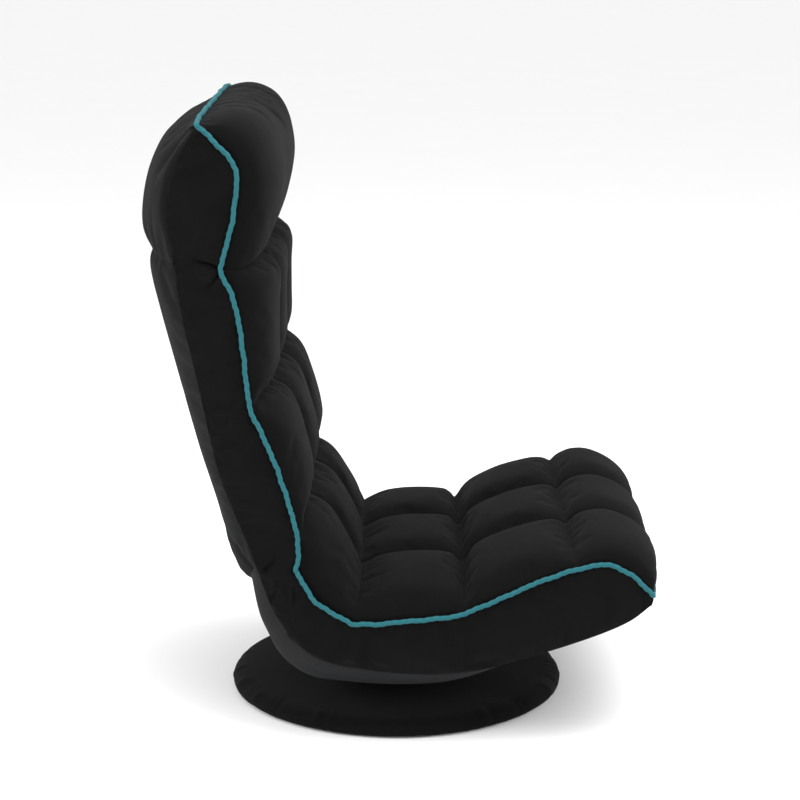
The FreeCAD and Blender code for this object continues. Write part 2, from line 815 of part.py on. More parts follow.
def seat_piping():
    radius = piping_d / 2
    x = panel_x + radius
    start = hinge_arc(218, disc_r + 5 * radius)
    corner = (front_panel_y() - front_panel_t - soft_gap - radius, seat_edge[-1][1])
    left = [vec(x, *point) for point in [start] + seat_edge[:-1] + [corner]]
    right = [vec(-p.x, p.y, p.z) for p in reversed(left)]
    return rod(left + right, radius, 2 * radius)


def quilt_crease():
    """Lowest row of the back, a soft roll that folds over the hinge."""
    clear = cheek_r + crease_clear
    tail = (hinge_y - clear + crease_tail[0], hinge_rise + crease_tail[1])
    end = (hinge_y - clear - soft_gap, hinge_rise + crease_rise)
    return quilt_row(crease_start + [hinge_arc(crease_angle, clear), tail], crease_top, end, crease_crown)


def rear_flap():
    """Loose lower end of the rear cover, hanging behind the hinge and crowned like the back."""
    side_y = seat_hem[-1][0] + 2 * flap_t
    crown_y = hinge_y + rear_crown - 4 * flap_t
    return slab("xy", hinge_rise - flap_drop, hinge_rise - flap_top_drop,
                [(-foam_half, side_y), ((0, crown_y), (foam_half, side_y)), (foam_half, side_y - flap_t),
                 ((0, crown_y - flap_t), (-foam_half, side_y - flap_t))])


# Upholstery of the back, drawn about the hinge line as (depth, height)

def back_foam():
    return Part.makeBox(2 * foam_half, back_foam_front - tube_r - strap_t - soft_gap,
                        back_foam_top - back_foam_start, vec(-foam_half, -back_foam_front, back_foam_start))


def back_row(heights, top, crown):
    front = -back_foam_front - soft_gap
    return quilt_row([(front, height) for height in heights], *top, crown)


def back_quilt_middle():
    return back_row(back_middle_base, back_middle_top, back_middle_crown)


def back_quilt_upper():
    return back_row(back_upper_base, back_upper_top, back_upper_crown)


def raised(points, height):
    """The same points, some of them (middle, end) steps of an arc, that much higher."""
    return [((p[0][0], p[0][1] + height), (p[1][0], p[1][1] + height)) if isinstance(p[0], tuple)
            else (p[0], p[1] + height) for p in points]


def neck(points):
    return raised(points, head_bend_height)


def crown(points):
    return raised(points, head_tube_top)


def head_foam():
    return slab("yz", -foam_half, foam_half, neck(head_foam_neck) + crown(head_foam_crown))


def head_quilt():
    """Plain padded head section, wrapped over the top to the rear edge."""
    side = slab("yz", -quilt_half, quilt_half, neck(head_front_neck) + crown(head_front_crown))
    top = head_tube_top + 2 * head_crest
    edge, turn, shoulder = [(quilt_half - x, y) for x, y in head_plan]
    plan = slab("xy", 0, top,
                [(-edge[0], 0), (-edge[0], edge[1]), ((-turn[0], turn[1]), (-shoulder[0], shoulder[1])),
                 ((0, head_plan_nose), shoulder), (turn, edge), (edge[0], 0)])
    edge, turn, shoulder = [(quilt_half - x, z) for x, z in crown(head_corner)]
    front = slab("xz", 2 * head_plan_nose, 0,
                 [(-edge[0], 0), (-edge[0], edge[1]), ((-turn[0], turn[1]), (-shoulder[0], shoulder[1])),
                  ((0, head_tube_top + head_crest), shoulder), (turn, edge), (edge[0], 0)])
    return side.common(plan).common(front)


def rear_crown_block(low, high, crown_depth):
    """Block whose rear face is crowned from side to side."""
    half = panel_inner_x - soft_gap / 2
    front = -2 * rear_crown
    return slab("xy", low, high, [(-half, front), (half, front), (half, rear_seam),
                                  ((0, crown_depth), (-half, rear_seam))])


def back_rear_pad():
    top, turn, shoulder, inner = [(rear_crown - depth, height) for height, depth in rear_tuck]
    tuck = neck([top, (turn, shoulder), (rear_front, inner[1])])
    side = slab("yz", -panel_x, panel_x,
                [(rear_front, back_tube_start), rear_low, (rear_crown, rear_hem)] + tuck)
    return side.common(rear_crown_block(2 * rear_hem, 2 * head_tube_top, rear_crown))


def head_rear_pad():
    side = slab("yz", -panel_x, panel_x, neck(head_rear_neck) + crown(head_rear_crown))
    return side.common(rear_crown_block(0, 2 * head_tube_top, rear_crown + soft_gap))


def back_side_panel():
    return slab("yz", panel_inner_x, panel_x,
                [(-disc_r, 0)] + neck(side_neck) + crown(side_crown) + neck([side_rear_neck])
                + [(disc_r, 0), ((0, -disc_r), (-disc_r, 0))])


def back_piping():
    radius = piping_d / 2
    edge = back_edge_low + neck(back_edge_neck) + crown(back_edge_head + [piping_top])
    left = [vec(panel_x + radius, *point) for point in edge]
    right = [vec(-p.x, p.y, p.z) for p in reversed(left)]
    return rod(left + right, radius, 2 * radius)


def export(name, shape):
    shape.exportStep(os.path.join("parts", name + ".step"))


def export_pair(name, shape):
    """The sitter's left piece and its mirror image, each in a file of its own."""
    export(name + "_left", shape)
    export(name + "_right", mirrored(shape))


def main():
    os.makedirs("parts", exist_ok=True)

    for make in (base_grip_pad, base_board, base_padding, base_cover, base_spacer, swivel_lower_plate,
                 swivel_lower_bolts, swivel_king_pin, swivel_ball_cage, swivel_balls, swivel_upper_plate,
                 swivel_mount_plate, swivel_upper_bolts):
        export(make.__name__, make())
    export("swivel_lower_nuts", hex_nuts(lower_plate_top))
    export("swivel_upper_nuts", hex_nuts(seat_level))

    export_pair("seat_rail", on_seat(seat_rail()))
    front_cross = straight_cross(rail_x, front_cross_y, rail_height(front_cross_y), rail_bar())
    export("seat_cross_front", on_seat(front_cross))
    export("seat_cross_middle_front", on_seat(dropped_cross(-mid_cross_y)))
    export("seat_cross_middle_rear", on_seat(dropped_cross(mid_cross_y)))
    rear_cross = straight_cross(rail_x, hinge_y, hinge_rise - rear_cross_drop, rail_bar())
    export("seat_cross_rear", on_seat(rear_cross))
    for make in (seat_webbing, seat_foam, seat_quilt_rear, seat_quilt_middle, seat_quilt_front,
                 seat_front_panel, seat_bottom_cover, seat_piping, quilt_crease, rear_flap):
        export(make.__name__, on_seat(make()))
    export_pair("seat_side_panel", on_seat(seat_side_panel()))

    export_pair("hinge_cheeks", on_seat(hinge_cheeks()))
    export("hinge_pins", on_seat(both_sides(hinge_pin())))
    export("hinge_pawl_pins", on_seat(both_sides(pawl_pin())))
    export("hinge_pawl_springs", on_seat(both_sides(pawl_spring())))
    export("hinge_seat_rivets", on_seat(both_sides(Part.makeCompound(seat_rivets()))))
    export_pair("hinge_pawl", on_seat(pawl()))

    export_pair("hinge_sector", on_back(hinge_sector()))
    export("hinge_back_rivets", on_back(both_sides(Part.makeCompound(back_rivets()))))
    export_pair("back_tube", on_back(back_tube()))
    export("back_cross_lower", on_back(straight_cross(back_tube_x, 0, back_cross_height, back_bar())))
    for name, height in zip(("back_cross_upper", "head_cross"), head_cross_heights):
        export(name, on_back(straight_cross(back_tube_x, head_tube_depth(height), height, back_bar())))
    for make in (back_webbing, back_foam, back_quilt_middle, back_quilt_upper, head_foam, head_quilt,
                 back_rear_pad, head_rear_pad, back_piping):
        export(make.__name__, on_back(make()))
    export_pair("back_side_panel", on_back(back_side_panel()))


main()
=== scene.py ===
# %% [markdown]
# # Floor gaming chair
# A quilted seat and folding back on a round swivel base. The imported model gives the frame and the
# moving bodies. This lesson dresses it: quilted cushions, side panels, rear cover, twisted cord
# piping, a fabric cover on the base, and their materials. All lengths are metres in the same frame, apart
# from the measured lines of the soft pieces, which are millimetres.

# %% Load the frame
import json
import math
import bmesh
import bpy
import numpy as np
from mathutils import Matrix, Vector


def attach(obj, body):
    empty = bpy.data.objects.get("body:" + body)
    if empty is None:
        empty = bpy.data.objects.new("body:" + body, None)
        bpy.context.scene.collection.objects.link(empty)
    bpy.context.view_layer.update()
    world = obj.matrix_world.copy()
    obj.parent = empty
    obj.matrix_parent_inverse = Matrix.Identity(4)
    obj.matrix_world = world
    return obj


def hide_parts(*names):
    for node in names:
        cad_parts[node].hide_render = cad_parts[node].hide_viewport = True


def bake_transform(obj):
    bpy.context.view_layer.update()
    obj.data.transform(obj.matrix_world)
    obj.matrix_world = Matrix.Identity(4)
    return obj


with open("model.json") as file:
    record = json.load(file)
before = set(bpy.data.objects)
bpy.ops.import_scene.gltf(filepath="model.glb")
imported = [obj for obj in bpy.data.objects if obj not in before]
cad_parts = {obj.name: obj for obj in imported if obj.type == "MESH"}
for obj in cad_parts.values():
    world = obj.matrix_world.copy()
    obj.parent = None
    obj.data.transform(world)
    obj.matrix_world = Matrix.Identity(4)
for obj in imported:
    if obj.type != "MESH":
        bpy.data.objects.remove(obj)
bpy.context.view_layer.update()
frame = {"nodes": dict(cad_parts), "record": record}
nodes = frame["nodes"]
scene = bpy.context.scene

# %% [markdown]
# ## Camera, light and floor
# The chair is seen from its right side, from a little above. A short lens close by would spread the
# seat, so a long lens stands three metres away and keeps its lines nearly parallel.

# %% Camera
camera_place = Vector((-3.014, -0.005, 1.131))
camera_target = Vector((0, -0.005, 0.418))
camera_data = bpy.data.cameras.new("camera")
camera_data.lens = 98
camera_data.sensor_width = 36
camera = bpy.data.objects.new("camera", camera_data)
scene.collection.objects.link(camera)
camera.location = camera_place
camera.rotation_euler = (camera_target - camera_place).to_track_quat("-Z", "Y").to_euler()
scene.camera = camera
print("camera lens", camera_data.lens, "mm")

# %% [markdown]
# Dark cloth shows its form by the light that grazes it, so the lamps are large and soft: one above,
# one behind the camera and one behind the back. The world is a plain white, and the camera, mirrors
# and glass get a white of their own, so the one that lights the scene can be changed by itself.

# %% Lamps, world and floor
def area_lamp(name, place, target, size, power):
    data = bpy.data.lights.new(name, "AREA")
    data.shape = "RECTANGLE"
    data.size, data.size_y = size
    data.energy = power
    lamp = bpy.data.objects.new(name, data)
    lamp.location = place
    lamp.rotation_euler = (Vector(target) - Vector(place)).to_track_quat("-Z", "Y").to_euler()
    scene.collection.objects.link(lamp)
    return lamp


area_lamp("lamp_top", place=(-0.4, -0.5, 2.6), target=(0, 0, 0.4), size=(1.8, 2.2), power=70)
area_lamp("lamp_camera", place=(-2.6, -1.8, 1.9), target=(0, 0, 0.35), size=(1.6, 1.6), power=45)
area_lamp("lamp_rear", place=(-1.2, 2.3, 1.2), target=(0, 0.1, 0.4), size=(1.4, 1.8), power=45)

world = bpy.data.worlds.new("studio")
scene.world = world
world.use_nodes = True
tree = world.node_tree
tree.nodes.clear()
path = tree.nodes.new("ShaderNodeLightPath")
soft = tree.nodes.new("ShaderNodeBackground")
soft.inputs["Color"].default_value = (1, 1, 1, 1)
soft.inputs["Strength"].default_value = 1
white = tree.nodes.new("ShaderNodeBackground")
white.inputs["Color"].default_value = (1, 1, 1, 1)
white.inputs["Strength"].default_value = 1
either = tree.nodes.new("ShaderNodeMath")
either.operation = "MAXIMUM"
tree.links.new(path.outputs["Is Camera Ray"], either.inputs[0])
tree.links.new(path.outputs["Is Transmission Ray"], either.inputs[1])
seen = tree.nodes.new("ShaderNodeMath")
seen.operation = "MAXIMUM"
tree.links.new(either.outputs[0], seen.inputs[0])
tree.links.new(path.outputs["Is Glossy Ray"], seen.inputs[1])
mix = tree.nodes.new("ShaderNodeMixShader")
tree.links.new(seen.outputs[0], mix.inputs[0])
tree.links.new(soft.outputs[0], mix.inputs[1])
tree.links.new(white.outputs[0], mix.inputs[2])
out = tree.nodes.new("ShaderNodeOutputWorld")
tree.links.new(mix.outputs[0], out.inputs["Surface"])

scene.view_settings.view_transform = "Standard"

floor_half = 80
floor_drop = 0.0005
floor_mesh = bpy.data.meshes.new("floor")
bm = bmesh.new()
bmesh.ops.create_grid(bm, x_segments=2, y_segments=2, size=floor_half)
bm.to_mesh(floor_mesh)
bm.free()
floor = bpy.data.objects.new("floor", floor_mesh)
floor.location = (0, 0, -floor_drop)
scene.collection.objects.link(floor)
print("three lamps, a white world and a floor")

# %% [markdown]
# ## Materials
# A small helper starts a Principled material and hands back its nodes, so each material below only
# states what is special about it. Cloth pieces carry a UV map in metres, which the weave follows.

# %% Material helper
def start_material(name, color, rough, **sockets):
    material = bpy.data.materials.new(name)
    material.use_nodes = True
    net = material.node_tree
    shader = net.nodes["Principled BSDF"]
    shader.inputs["Base Color"].default_value = (*color, 1)
    shader.inputs["Roughness"].default_value = rough
    for key, value in sockets.items():
        shader.inputs[key.replace("_", " ")].default_value = value
    return material, net, shader


def node(net, kind, **inputs):
    made = net.nodes.new(kind)
    for key, value in inputs.items():
        made.inputs[key].default_value = value
    return made


def ramp_between(net, source, low, high, low_at=0.0, high_at=1.0):
    """Colour ramp from low to high over the given part of the source's range."""
    ramp = net.nodes.new("ShaderNodeValToRGB")
    ramp.color_ramp.elements[0].position = low_at
    ramp.color_ramp.elements[1].position = high_at
    ramp.color_ramp.elements[0].color = (*low, 1)
    ramp.color_ramp.elements[1].color = (*high, 1)
    net.links.new(source, ramp.inputs[0])
    return ramp.outputs["Color"]


def bumped(net, shader, sources):
    """Chain of bumps: (height, strength, distance in metres), the broadest first."""
    last = None
    for height, strength, distance in sources:
        bump = node(net, "ShaderNodeBump", Strength=strength, Distance=distance)
        net.links.new(height, bump.inputs["Height"])
        if last:
            net.links.new(last, bump.inputs["Normal"])
        last = bump.outputs["Normal"]
    net.links.new(last, shader.inputs["Normal"])


# %% [markdown]
# The black cover is a fine woven polyester with a short nap. Two crossed waves make the threads,
# noise makes the nap uneven, and the sheen gives the pale edge that such cloth shows when it turns away
# from the eye. A woven picture would repeat; the waves and the noise do not.

# %% Woven cloth
def woven_cloth(name, dark, pale, thread, sheen, rough=0.86):
    """thread is the distance between two threads, in metres of the piece's UV map."""
    material, net, shader = start_material(
        name, dark, rough, Sheen_Weight=sheen, Sheen_Roughness=0.38, Specular_IOR_Level=0.08)
    shader.inputs["Sheen Tint"].default_value = (0.82, 0.87, 0.95, 1)
    place = net.nodes.new("ShaderNodeTexCoord")
    threads = []
    for direction in ("X", "Y"):
        wave = node(net, "ShaderNodeTexWave", Scale=0.5 / thread, Distortion=1.2, Detail=2.0)
        wave.bands_direction = direction
        net.links.new(place.outputs["UV"], wave.inputs["Vector"])
        threads.append(wave.outputs["Fac"])
    weave = net.nodes.new("ShaderNodeMath")
    weave.operation = "MULTIPLY"
    net.links.new(threads[0], weave.inputs[0])
    net.links.new(threads[1], weave.inputs[1])
    nap = node(net, "ShaderNodeTexNoise", Scale=420.0, Detail=3.0, Roughness=0.65)
    patch = node(net, "ShaderNodeTexNoise", Scale=9.0, Detail=4.0, Roughness=0.55)
    crumple = node(net, "ShaderNodeTexNoise", Scale=34.0, Detail=3.0, Roughness=0.5)
    for texture in (nap, patch, crumple):
        net.links.new(place.outputs["Object"], texture.inputs["Vector"])
    color = ramp_between(net, patch.outputs["Fac"], dark, pale, 0.3, 0.75)
    lit = node(net, "ShaderNodeMix", Factor=0.35)
    lit.data_type = "RGBA"
    lit.blend_type = "OVERLAY"
    net.links.new(color, lit.inputs["A"])
    net.links.new(nap.outputs["Fac"], lit.inputs["B"])
    net.links.new(lit.outputs["Result"], shader.inputs["Base Color"])
    gloss = ramp_between(net, patch.outputs["Fac"], (rough - 0.08,) * 3, (rough + 0.08,) * 3, 0.3, 0.7)
    net.links.new(gloss, shader.inputs["Roughness"])
    bumped(net, shader, [(crumple.outputs["Fac"], 0.35, 0.003), (nap.outputs["Fac"], 0.4, 0.0007),
                         (weave.outputs[0], 0.6, 0.0004)])
    return material


black_cloth = woven_cloth("black_cloth", dark=(0.0014, 0.0014, 0.0015), pale=(0.003, 0.003, 0.0032),
                          thread=0.0011, sheen=0.021)
lining_cloth = woven_cloth("lining_cloth", dark=(0.0075, 0.0075, 0.0077), pale=(0.0125, 0.0125, 0.0129),
                           thread=0.0016, sheen=0.04)
print("cloths:", black_cloth.name, lining_cloth.name)

# %% [markdown]
# The piping cord is twisted teal yarn. Its UV map runs along and round the cord, so one slanting
# wave draws the yarns and a fine noise makes them fuzzy. The same wave paints shade into the grooves
# between the yarns, darker where the yarns dip. Modelling each fibre would cost millions of
# faces for something finer than a pixel.

# %% Piping yarn
teal_yarn, net, shader = start_material(
    "teal_yarn", (0.01, 0.11, 0.13), 0.8, Sheen_Weight=0.04, Specular_IOR_Level=0.2, Sheen_Roughness=0.5)
place = net.nodes.new("ShaderNodeTexCoord")
fuzz = node(net, "ShaderNodeTexNoise", Scale=900.0, Detail=3.0)
net.links.new(place.outputs["Object"], fuzz.inputs["Vector"])
yarns = node(net, "ShaderNodeTexWave", Scale=260.0, Distortion=2.0, Detail=2.0)
yarns.bands_direction = "DIAGONAL"
net.links.new(place.outputs["UV"], yarns.inputs["Vector"])
# Painted shade: the ramp darkens the teal in the grooves between the yarns, where the bump dips, and keeps
# it pale on their crests.
color = ramp_between(net, yarns.outputs["Fac"], (0.0035, 0.045, 0.055), (0.016, 0.145, 0.17), 0.1, 0.8)
net.links.new(color, shader.inputs["Base Color"])
bumped(net, shader, [(yarns.outputs["Fac"], 0.6, 0.0008), (fuzz.outputs["Fac"], 0.6, 0.0006)])
print("yarn:", teal_yarn.name)

# %% [markdown]
# The carried-over solids are mostly hidden, yet each gets a finish of its own: zinc plating with
# faint brushing, black powder coat, moulded nylon, rubber, plywood, foam and woven strap. One helper
# serves them all, since they differ in tone, gloss and the size and stretch of their grain.

# %% Finishes of the frame
def grained(name, low, high, rough, metallic, scale, bump, stretch=(1, 1, 1)):
    """A tone that wanders from low to high, and a grain of that scale, bumped by that depth in metres."""
    material, net, shader = start_material(name, low, rough, Metallic=metallic)
    place = net.nodes.new("ShaderNodeTexCoord")
    turn = net.nodes.new("ShaderNodeMapping")
    turn.inputs["Scale"].default_value = stretch
    net.links.new(place.outputs["Object"], turn.inputs["Vector"])
    grain = node(net, "ShaderNodeTexNoise", Scale=scale, Detail=4.0, Roughness=0.6)
    net.links.new(turn.outputs["Vector"], grain.inputs["Vector"])
    net.links.new(ramp_between(net, grain.outputs["Fac"], low, high, 0.3, 0.7), shader.inputs["Base Color"])
    dull = ramp_between(net, grain.outputs["Fac"], (rough - 0.1,) * 3, (rough + 0.1,) * 3, 0.25, 0.75)
    net.links.new(dull, shader.inputs["Roughness"])
    bumped(net, shader, [(grain.outputs["Fac"], 0.35, bump)])
    return material


finishes = {
    "steel_zinc": grained("zinc_plate", (0.42, 0.43, 0.44), (0.6, 0.61, 0.62), rough=0.34, metallic=1.0,
                          scale=160, bump=0.0002, stretch=(1, 1, 6)),
    "steel_black": grained("powder_coat", (0.012, 0.012, 0.013), (0.024, 0.024, 0.025), rough=0.5,
                           metallic=0.0, scale=600, bump=0.0003),
    "nylon": grained("moulded_nylon", (0.55, 0.54, 0.5), (0.65, 0.64, 0.6), rough=0.45, metallic=0.0,
                     scale=220, bump=0.0001),
    "rubber": grained("grip_rubber", (0.015, 0.015, 0.015), (0.03, 0.03, 0.03), rough=0.85, metallic=0.0,
                      scale=300, bump=0.0005),
    "plywood": grained("plywood", (0.38, 0.25, 0.13), (0.55, 0.39, 0.22), rough=0.7, metallic=0.0,
                       scale=60, bump=0.0006, stretch=(1, 12, 1)),
    "foam": grained("cut_foam", (0.75, 0.7, 0.5), (0.85, 0.8, 0.62), rough=0.95, metallic=0.0,
                    scale=700, bump=0.001),
    "webbing": grained("woven_strap", (0.03, 0.03, 0.032), (0.07, 0.07, 0.072), rough=0.8, metallic=0.0,
                       scale=500, bump=0.0008, stretch=(1, 4, 1)),
    "cover_black": black_cloth,
    "lining_grey": lining_cloth,
    "piping_teal": teal_yarn}
for entry in frame["record"]["subparts"]:
    mesh = nodes[entry["node"]].data
    mesh.materials.clear()
    mesh.materials.append(finishes[entry["material_slot"]])
print("finishes on", len(nodes), "nodes")

# %% [markdown]
# ## Tools for soft pieces
# Every cover starts as a flat grid of cloth whose lines run across and along the piece. A placing
# rule lifts the grid to the shape of the photograph. Sampling a smooth curve through a few measured
# points gives such rules; the points are millimetres in the (y, z) plane of the chair's side view.

# %% Curves through measured points
def curve_through(points, count):
    """count + 1 points, evenly spaced along a smooth curve through the given ones."""
    per_span = 40
    p = np.array(points, float)
    if len(p) == 2:
        return np.linspace(p[0], p[1], count + 1)
    knots = np.concatenate([[0], np.cumsum(np.linalg.norm(np.diff(p, axis=0), axis=1) ** 0.5)])
    slopes = np.gradient(p, knots, axis=0)
    fine = []
    for i in range(len(p) - 1):
        t = np.linspace(0, 1, per_span, endpoint=i == len(p) - 2)[:, None]
        h = knots[i + 1] - knots[i]
        fine.append((2 * t**3 - 3 * t**2 + 1) * p[i] + (t**3 - 2 * t**2 + t) * h * slopes[i]
                    + (3 * t**2 - 2 * t**3) * p[i + 1] + (t**3 - t**2) * h * slopes[i + 1])
    fine = np.concatenate(fine)
    run = np.concatenate([[0], np.cumsum(np.linalg.norm(np.diff(fine, axis=0), axis=1))])
    even = np.linspace(0, run[-1], count + 1)
    return np.stack([np.interp(even, run, fine[:, k]) for k in range(p.shape[1])], axis=1)


def evenly(line, count):
    """count + 1 points spread evenly along a line, which keeps its kinks."""
    p = np.array(line, float)
    run = np.concatenate([[0], np.cumsum(np.linalg.norm(np.diff(p, axis=0), axis=1))])
    even = np.linspace(0, run[-1], count + 1)
    return np.stack([np.interp(even, run, p[:, k]) for k in range(p.shape[1])], axis=1)


# %% [markdown]
# The grid's own (u, v) is kept as its UV map in metres, so that the weave keeps its scale on every
# piece. Unwrapping afterwards would stretch it. `place` gets all u and v at once and answers with
# points in millimetres.

# %% A cloth grid
def cloth_grid(name, across, along, size, place, material):
    """across and along are counts of cells, size the flat size in metres."""
    bm = bmesh.new()
    bmesh.ops.create_grid(bm, x_segments=across, y_segments=along, size=0.5)
    bm.verts.ensure_lookup_table()
    uv = np.array([(v.co.x + 0.5, v.co.y + 0.5) for v in bm.verts])
    layer = bm.loops.layers.uv.new("cloth")
    for face in bm.faces:
        for loop in face.loops:
            u, v = uv[loop.vert.index]
            loop[layer].uv = (u * size[0], v * size[1])
    points = place(uv[:, 0], uv[:, 1]) / 1000
    for vert, point in zip(bm.verts, points):
        vert.co = point
    for face in bm.faces:
        face.smooth = True
    mesh = bpy.data.meshes.new(name)
    bm.to_mesh(mesh)
    bm.free()
    obj = bpy.data.objects.new(name, mesh)
    scene.collection.objects.link(obj)
    mesh.materials.append(material)
    return obj, uv


def points_of(obj):
    co = np.zeros(len(obj.data.vertices) * 3)
    obj.data.vertices.foreach_get("co", co)
    return co.reshape(-1, 3)


def set_points(obj, co):
    obj.data.vertices.foreach_set("co", np.ascontiguousarray(co, np.float32).ravel())
    obj.data.update()


# %% [markdown]
# Sculpting could raise the puffs, but their wrinkles would be guesses. Here a cloth simulation blows
# the padding in: the sewn lines are pinned, the cloth between them is cut a little too large and
# pressed outwards, so it crowns and puckers as real covers do. How far a point may move is capped, to
# keep the outline that was measured.

# %% Filling by simulation
def fill_cloth(obj, pinned, pressure, slack, cap, frames=18):
    """slack is the share by which the cloth is cut too large, cap the furthest move in metres."""
    start = points_of(obj)
    group = obj.vertex_groups.new(name="sewn")
    group.add([int(i) for i in np.flatnonzero(pinned)], 1.0, "REPLACE")
    cloth = obj.modifiers.new("cloth", "CLOTH")
    settings = cloth.settings
    settings.quality = 5
    settings.mass = 0.25
    settings.tension_stiffness = settings.compression_stiffness = 18
    settings.shear_stiffness = 8
    settings.bending_stiffness = 1.0
    settings.air_damping = 2
    settings.use_pressure = True
    settings.uniform_pressure_force = pressure
    settings.shrink_min = -slack
    settings.vertex_group_mass = "sewn"
    settings.effector_weights.gravity = 0
    cloth.collision_settings.use_collision = False
    cloth.collision_settings.use_self_collision = False
    cloth.point_cache.frame_start = 1
    cloth.point_cache.frame_end = frames
    for step in range(1, frames + 1):
        scene.frame_set(step)
    shaped = obj.evaluated_get(bpy.context.evaluated_depsgraph_get())
    end = np.zeros(len(start) * 3)
    shaped.data.vertices.foreach_get("co", end)
    move = end.reshape(-1, 3) - start
    length = np.linalg.norm(move, axis=1, keepdims=True)
    move *= np.tanh(length / cap) * cap / np.maximum(length, 1e-9)
    obj.modifiers.remove(cloth)
    obj.vertex_groups.remove(group)
    scene.frame_set(1)
    set_points(obj, start + move)
    print(obj.name, "filled, moved up to", round(float(np.abs(length).max()) * 1000, 1), "mm, kept",
          round(float(np.linalg.norm(move, axis=1).max()) * 1000, 1), "mm")


# %% [markdown]
# One round of subdivision smooths the cloth. A cushion is then closed below: its open rim is pulled
# down into the chair and capped.

# %% Closing and smoothing
def close_below(obj, drop, shrink=0.94):
    """drop is how far the rim is pulled, in metres, towards the inside of the chair."""
    bm = bmesh.new()
    bm.from_mesh(obj.data)
    rim = [edge for edge in bm.edges if edge.is_boundary]
    made = bmesh.ops.extrude_edge_only(bm, edges=rim)["geom"]
    low = [item for item in made if isinstance(item, bmesh.types.BMVert)]
    for vert in low:
        vert.co.x *= shrink
    bmesh.ops.translate(bm, verts=low, vec=drop)
    low_edges = [item for item in made if isinstance(item, bmesh.types.BMEdge) and item.is_boundary]
    cap = bmesh.ops.holes_fill(bm, edges=low_edges, sides=0)["faces"]
    bmesh.ops.triangulate(bm, faces=cap)
    for face in bm.faces:
        face.smooth = True
    bm.to_mesh(obj.data)
    bm.free()


def smooth_once(obj):
    rounder = obj.modifiers.new("rounder", "SUBSURF")
    rounder.levels = rounder.render_levels = 1
    smooth = obj.evaluated_get(bpy.context.evaluated_depsgraph_get())
    rough, obj.data = obj.data, bpy.data.meshes.new_from_object(smooth)
    obj.modifiers.remove(rounder)
    bpy.data.meshes.remove(rough)
    obj.data.name = obj.name


# %% [markdown]
# ## Quilted cushions
# One sheet of quilting runs from the rear edge of the head, over it, down the back and along the seat
# to the front edge. Each row is measured twice in the side view: along the piping at the side, and
# along the crown of its puffs. Between those two lines the cloth rolls over the shoulder.

# %% Measured rows
rows = {
    "head": {"edge": [(251, 838), (224, 812), (204, 786), (201, 769), (211, 702), (225, 653)],
             "crown": [(251, 840), (235, 849), (207, 852), (180, 839), (165, 815), (157, 783), (155, 758),
                       (162, 709), (167, 675), (178, 653)]},
    "upper": {"edge": [(225, 653), (207, 611), (198, 553), (190, 471)],
              "crown": [(178, 653), (160, 636), (163, 590), (163, 535), (162, 500), (176, 483)]},
    "middle": {"edge": [(190, 471), (168, 423), (143, 352), (128, 279), (133, 251)],
               "crown": [(176, 483), (146, 462), (130, 413), (118, 372), (116, 340), (128, 318)]},
    "crease": {"edge": [(133, 251), (104, 207), (58, 177)],
               "crown": [(128, 318), (98, 302), (72, 260), (56, 228), (48, 210)]},
    "rear": {"edge": [(58, 177), (10, 179), (-40, 184), (-87, 190)],
             "crown": [(48, 210), (28, 222), (-1, 228), (-58, 230), (-80, 226), (-91, 214)]},
    "center": {"edge": [(-87, 190), (-157, 222), (-210, 245), (-240, 254)],
               "crown": [(-91, 214), (-105, 236), (-140, 255), (-182, 269), (-220, 276), (-235, 270)]},
    "front": {"edge": [(-240, 254), (-282, 260), (-318, 239), (-340, 217)],
              "crown": [(-235, 270), (-250, 284), (-288, 291), (-328, 275), (-350, 250), (-354, 235),
                        (-345, 217)]}}
half_width = 271.0
seam_x = half_width / 3
cell_length = 6.0
steps_per_row = 40
cells_across = 90
print("rows:", ", ".join(rows))


# %% [markdown]
# The section across a row is nearly flat in the middle, has a groove at each of the two column seams,
# and turns down steeply to the piping. The plain head has no column seams. Head, back, crease and seat
# are separate pieces, because they move or are quilted differently, yet they meet in sewn lines.

# %% A run of rows as one cushion
shoulder_from = 140
roll_power = 2.6
groove_reach = 48
groove_power = 2.2
row_press = 6.5
column_press = 4.0
seam_share, puff_power = 0.35, 0.6


def line_length(line):
    return np.linalg.norm(np.diff(np.array(line, float), axis=0), axis=1).sum()


def seam_slope(row, at_start):
    """Direction of a row's crown at its first or its last seam."""
    crown = curve_through(rows[row]["crown"], steps_per_row)
    step = crown[1] - crown[0] if at_start else crown[-1] - crown[-2]
    return step / np.linalg.norm(step)


def outward_of(crown, row_names):
    """Directions across the crown. At a seam between two runs both get the same one, so no gap opens."""
    slope = np.gradient(crown, axis=0)
    slope /= np.linalg.norm(slope, axis=1, keepdims=True)
    order = list(rows)
    before, after = order.index(row_names[0]) - 1, order.index(row_names[-1]) + 1
    if before >= 0:
        slope[0] += seam_slope(order[before], at_start=False)
    if after < len(order):
        slope[-1] += seam_slope(order[after], at_start=True)
    slope /= np.linalg.norm(slope, axis=1, keepdims=True)
    return np.stack([slope[:, 1], -slope[:, 0]], axis=1)


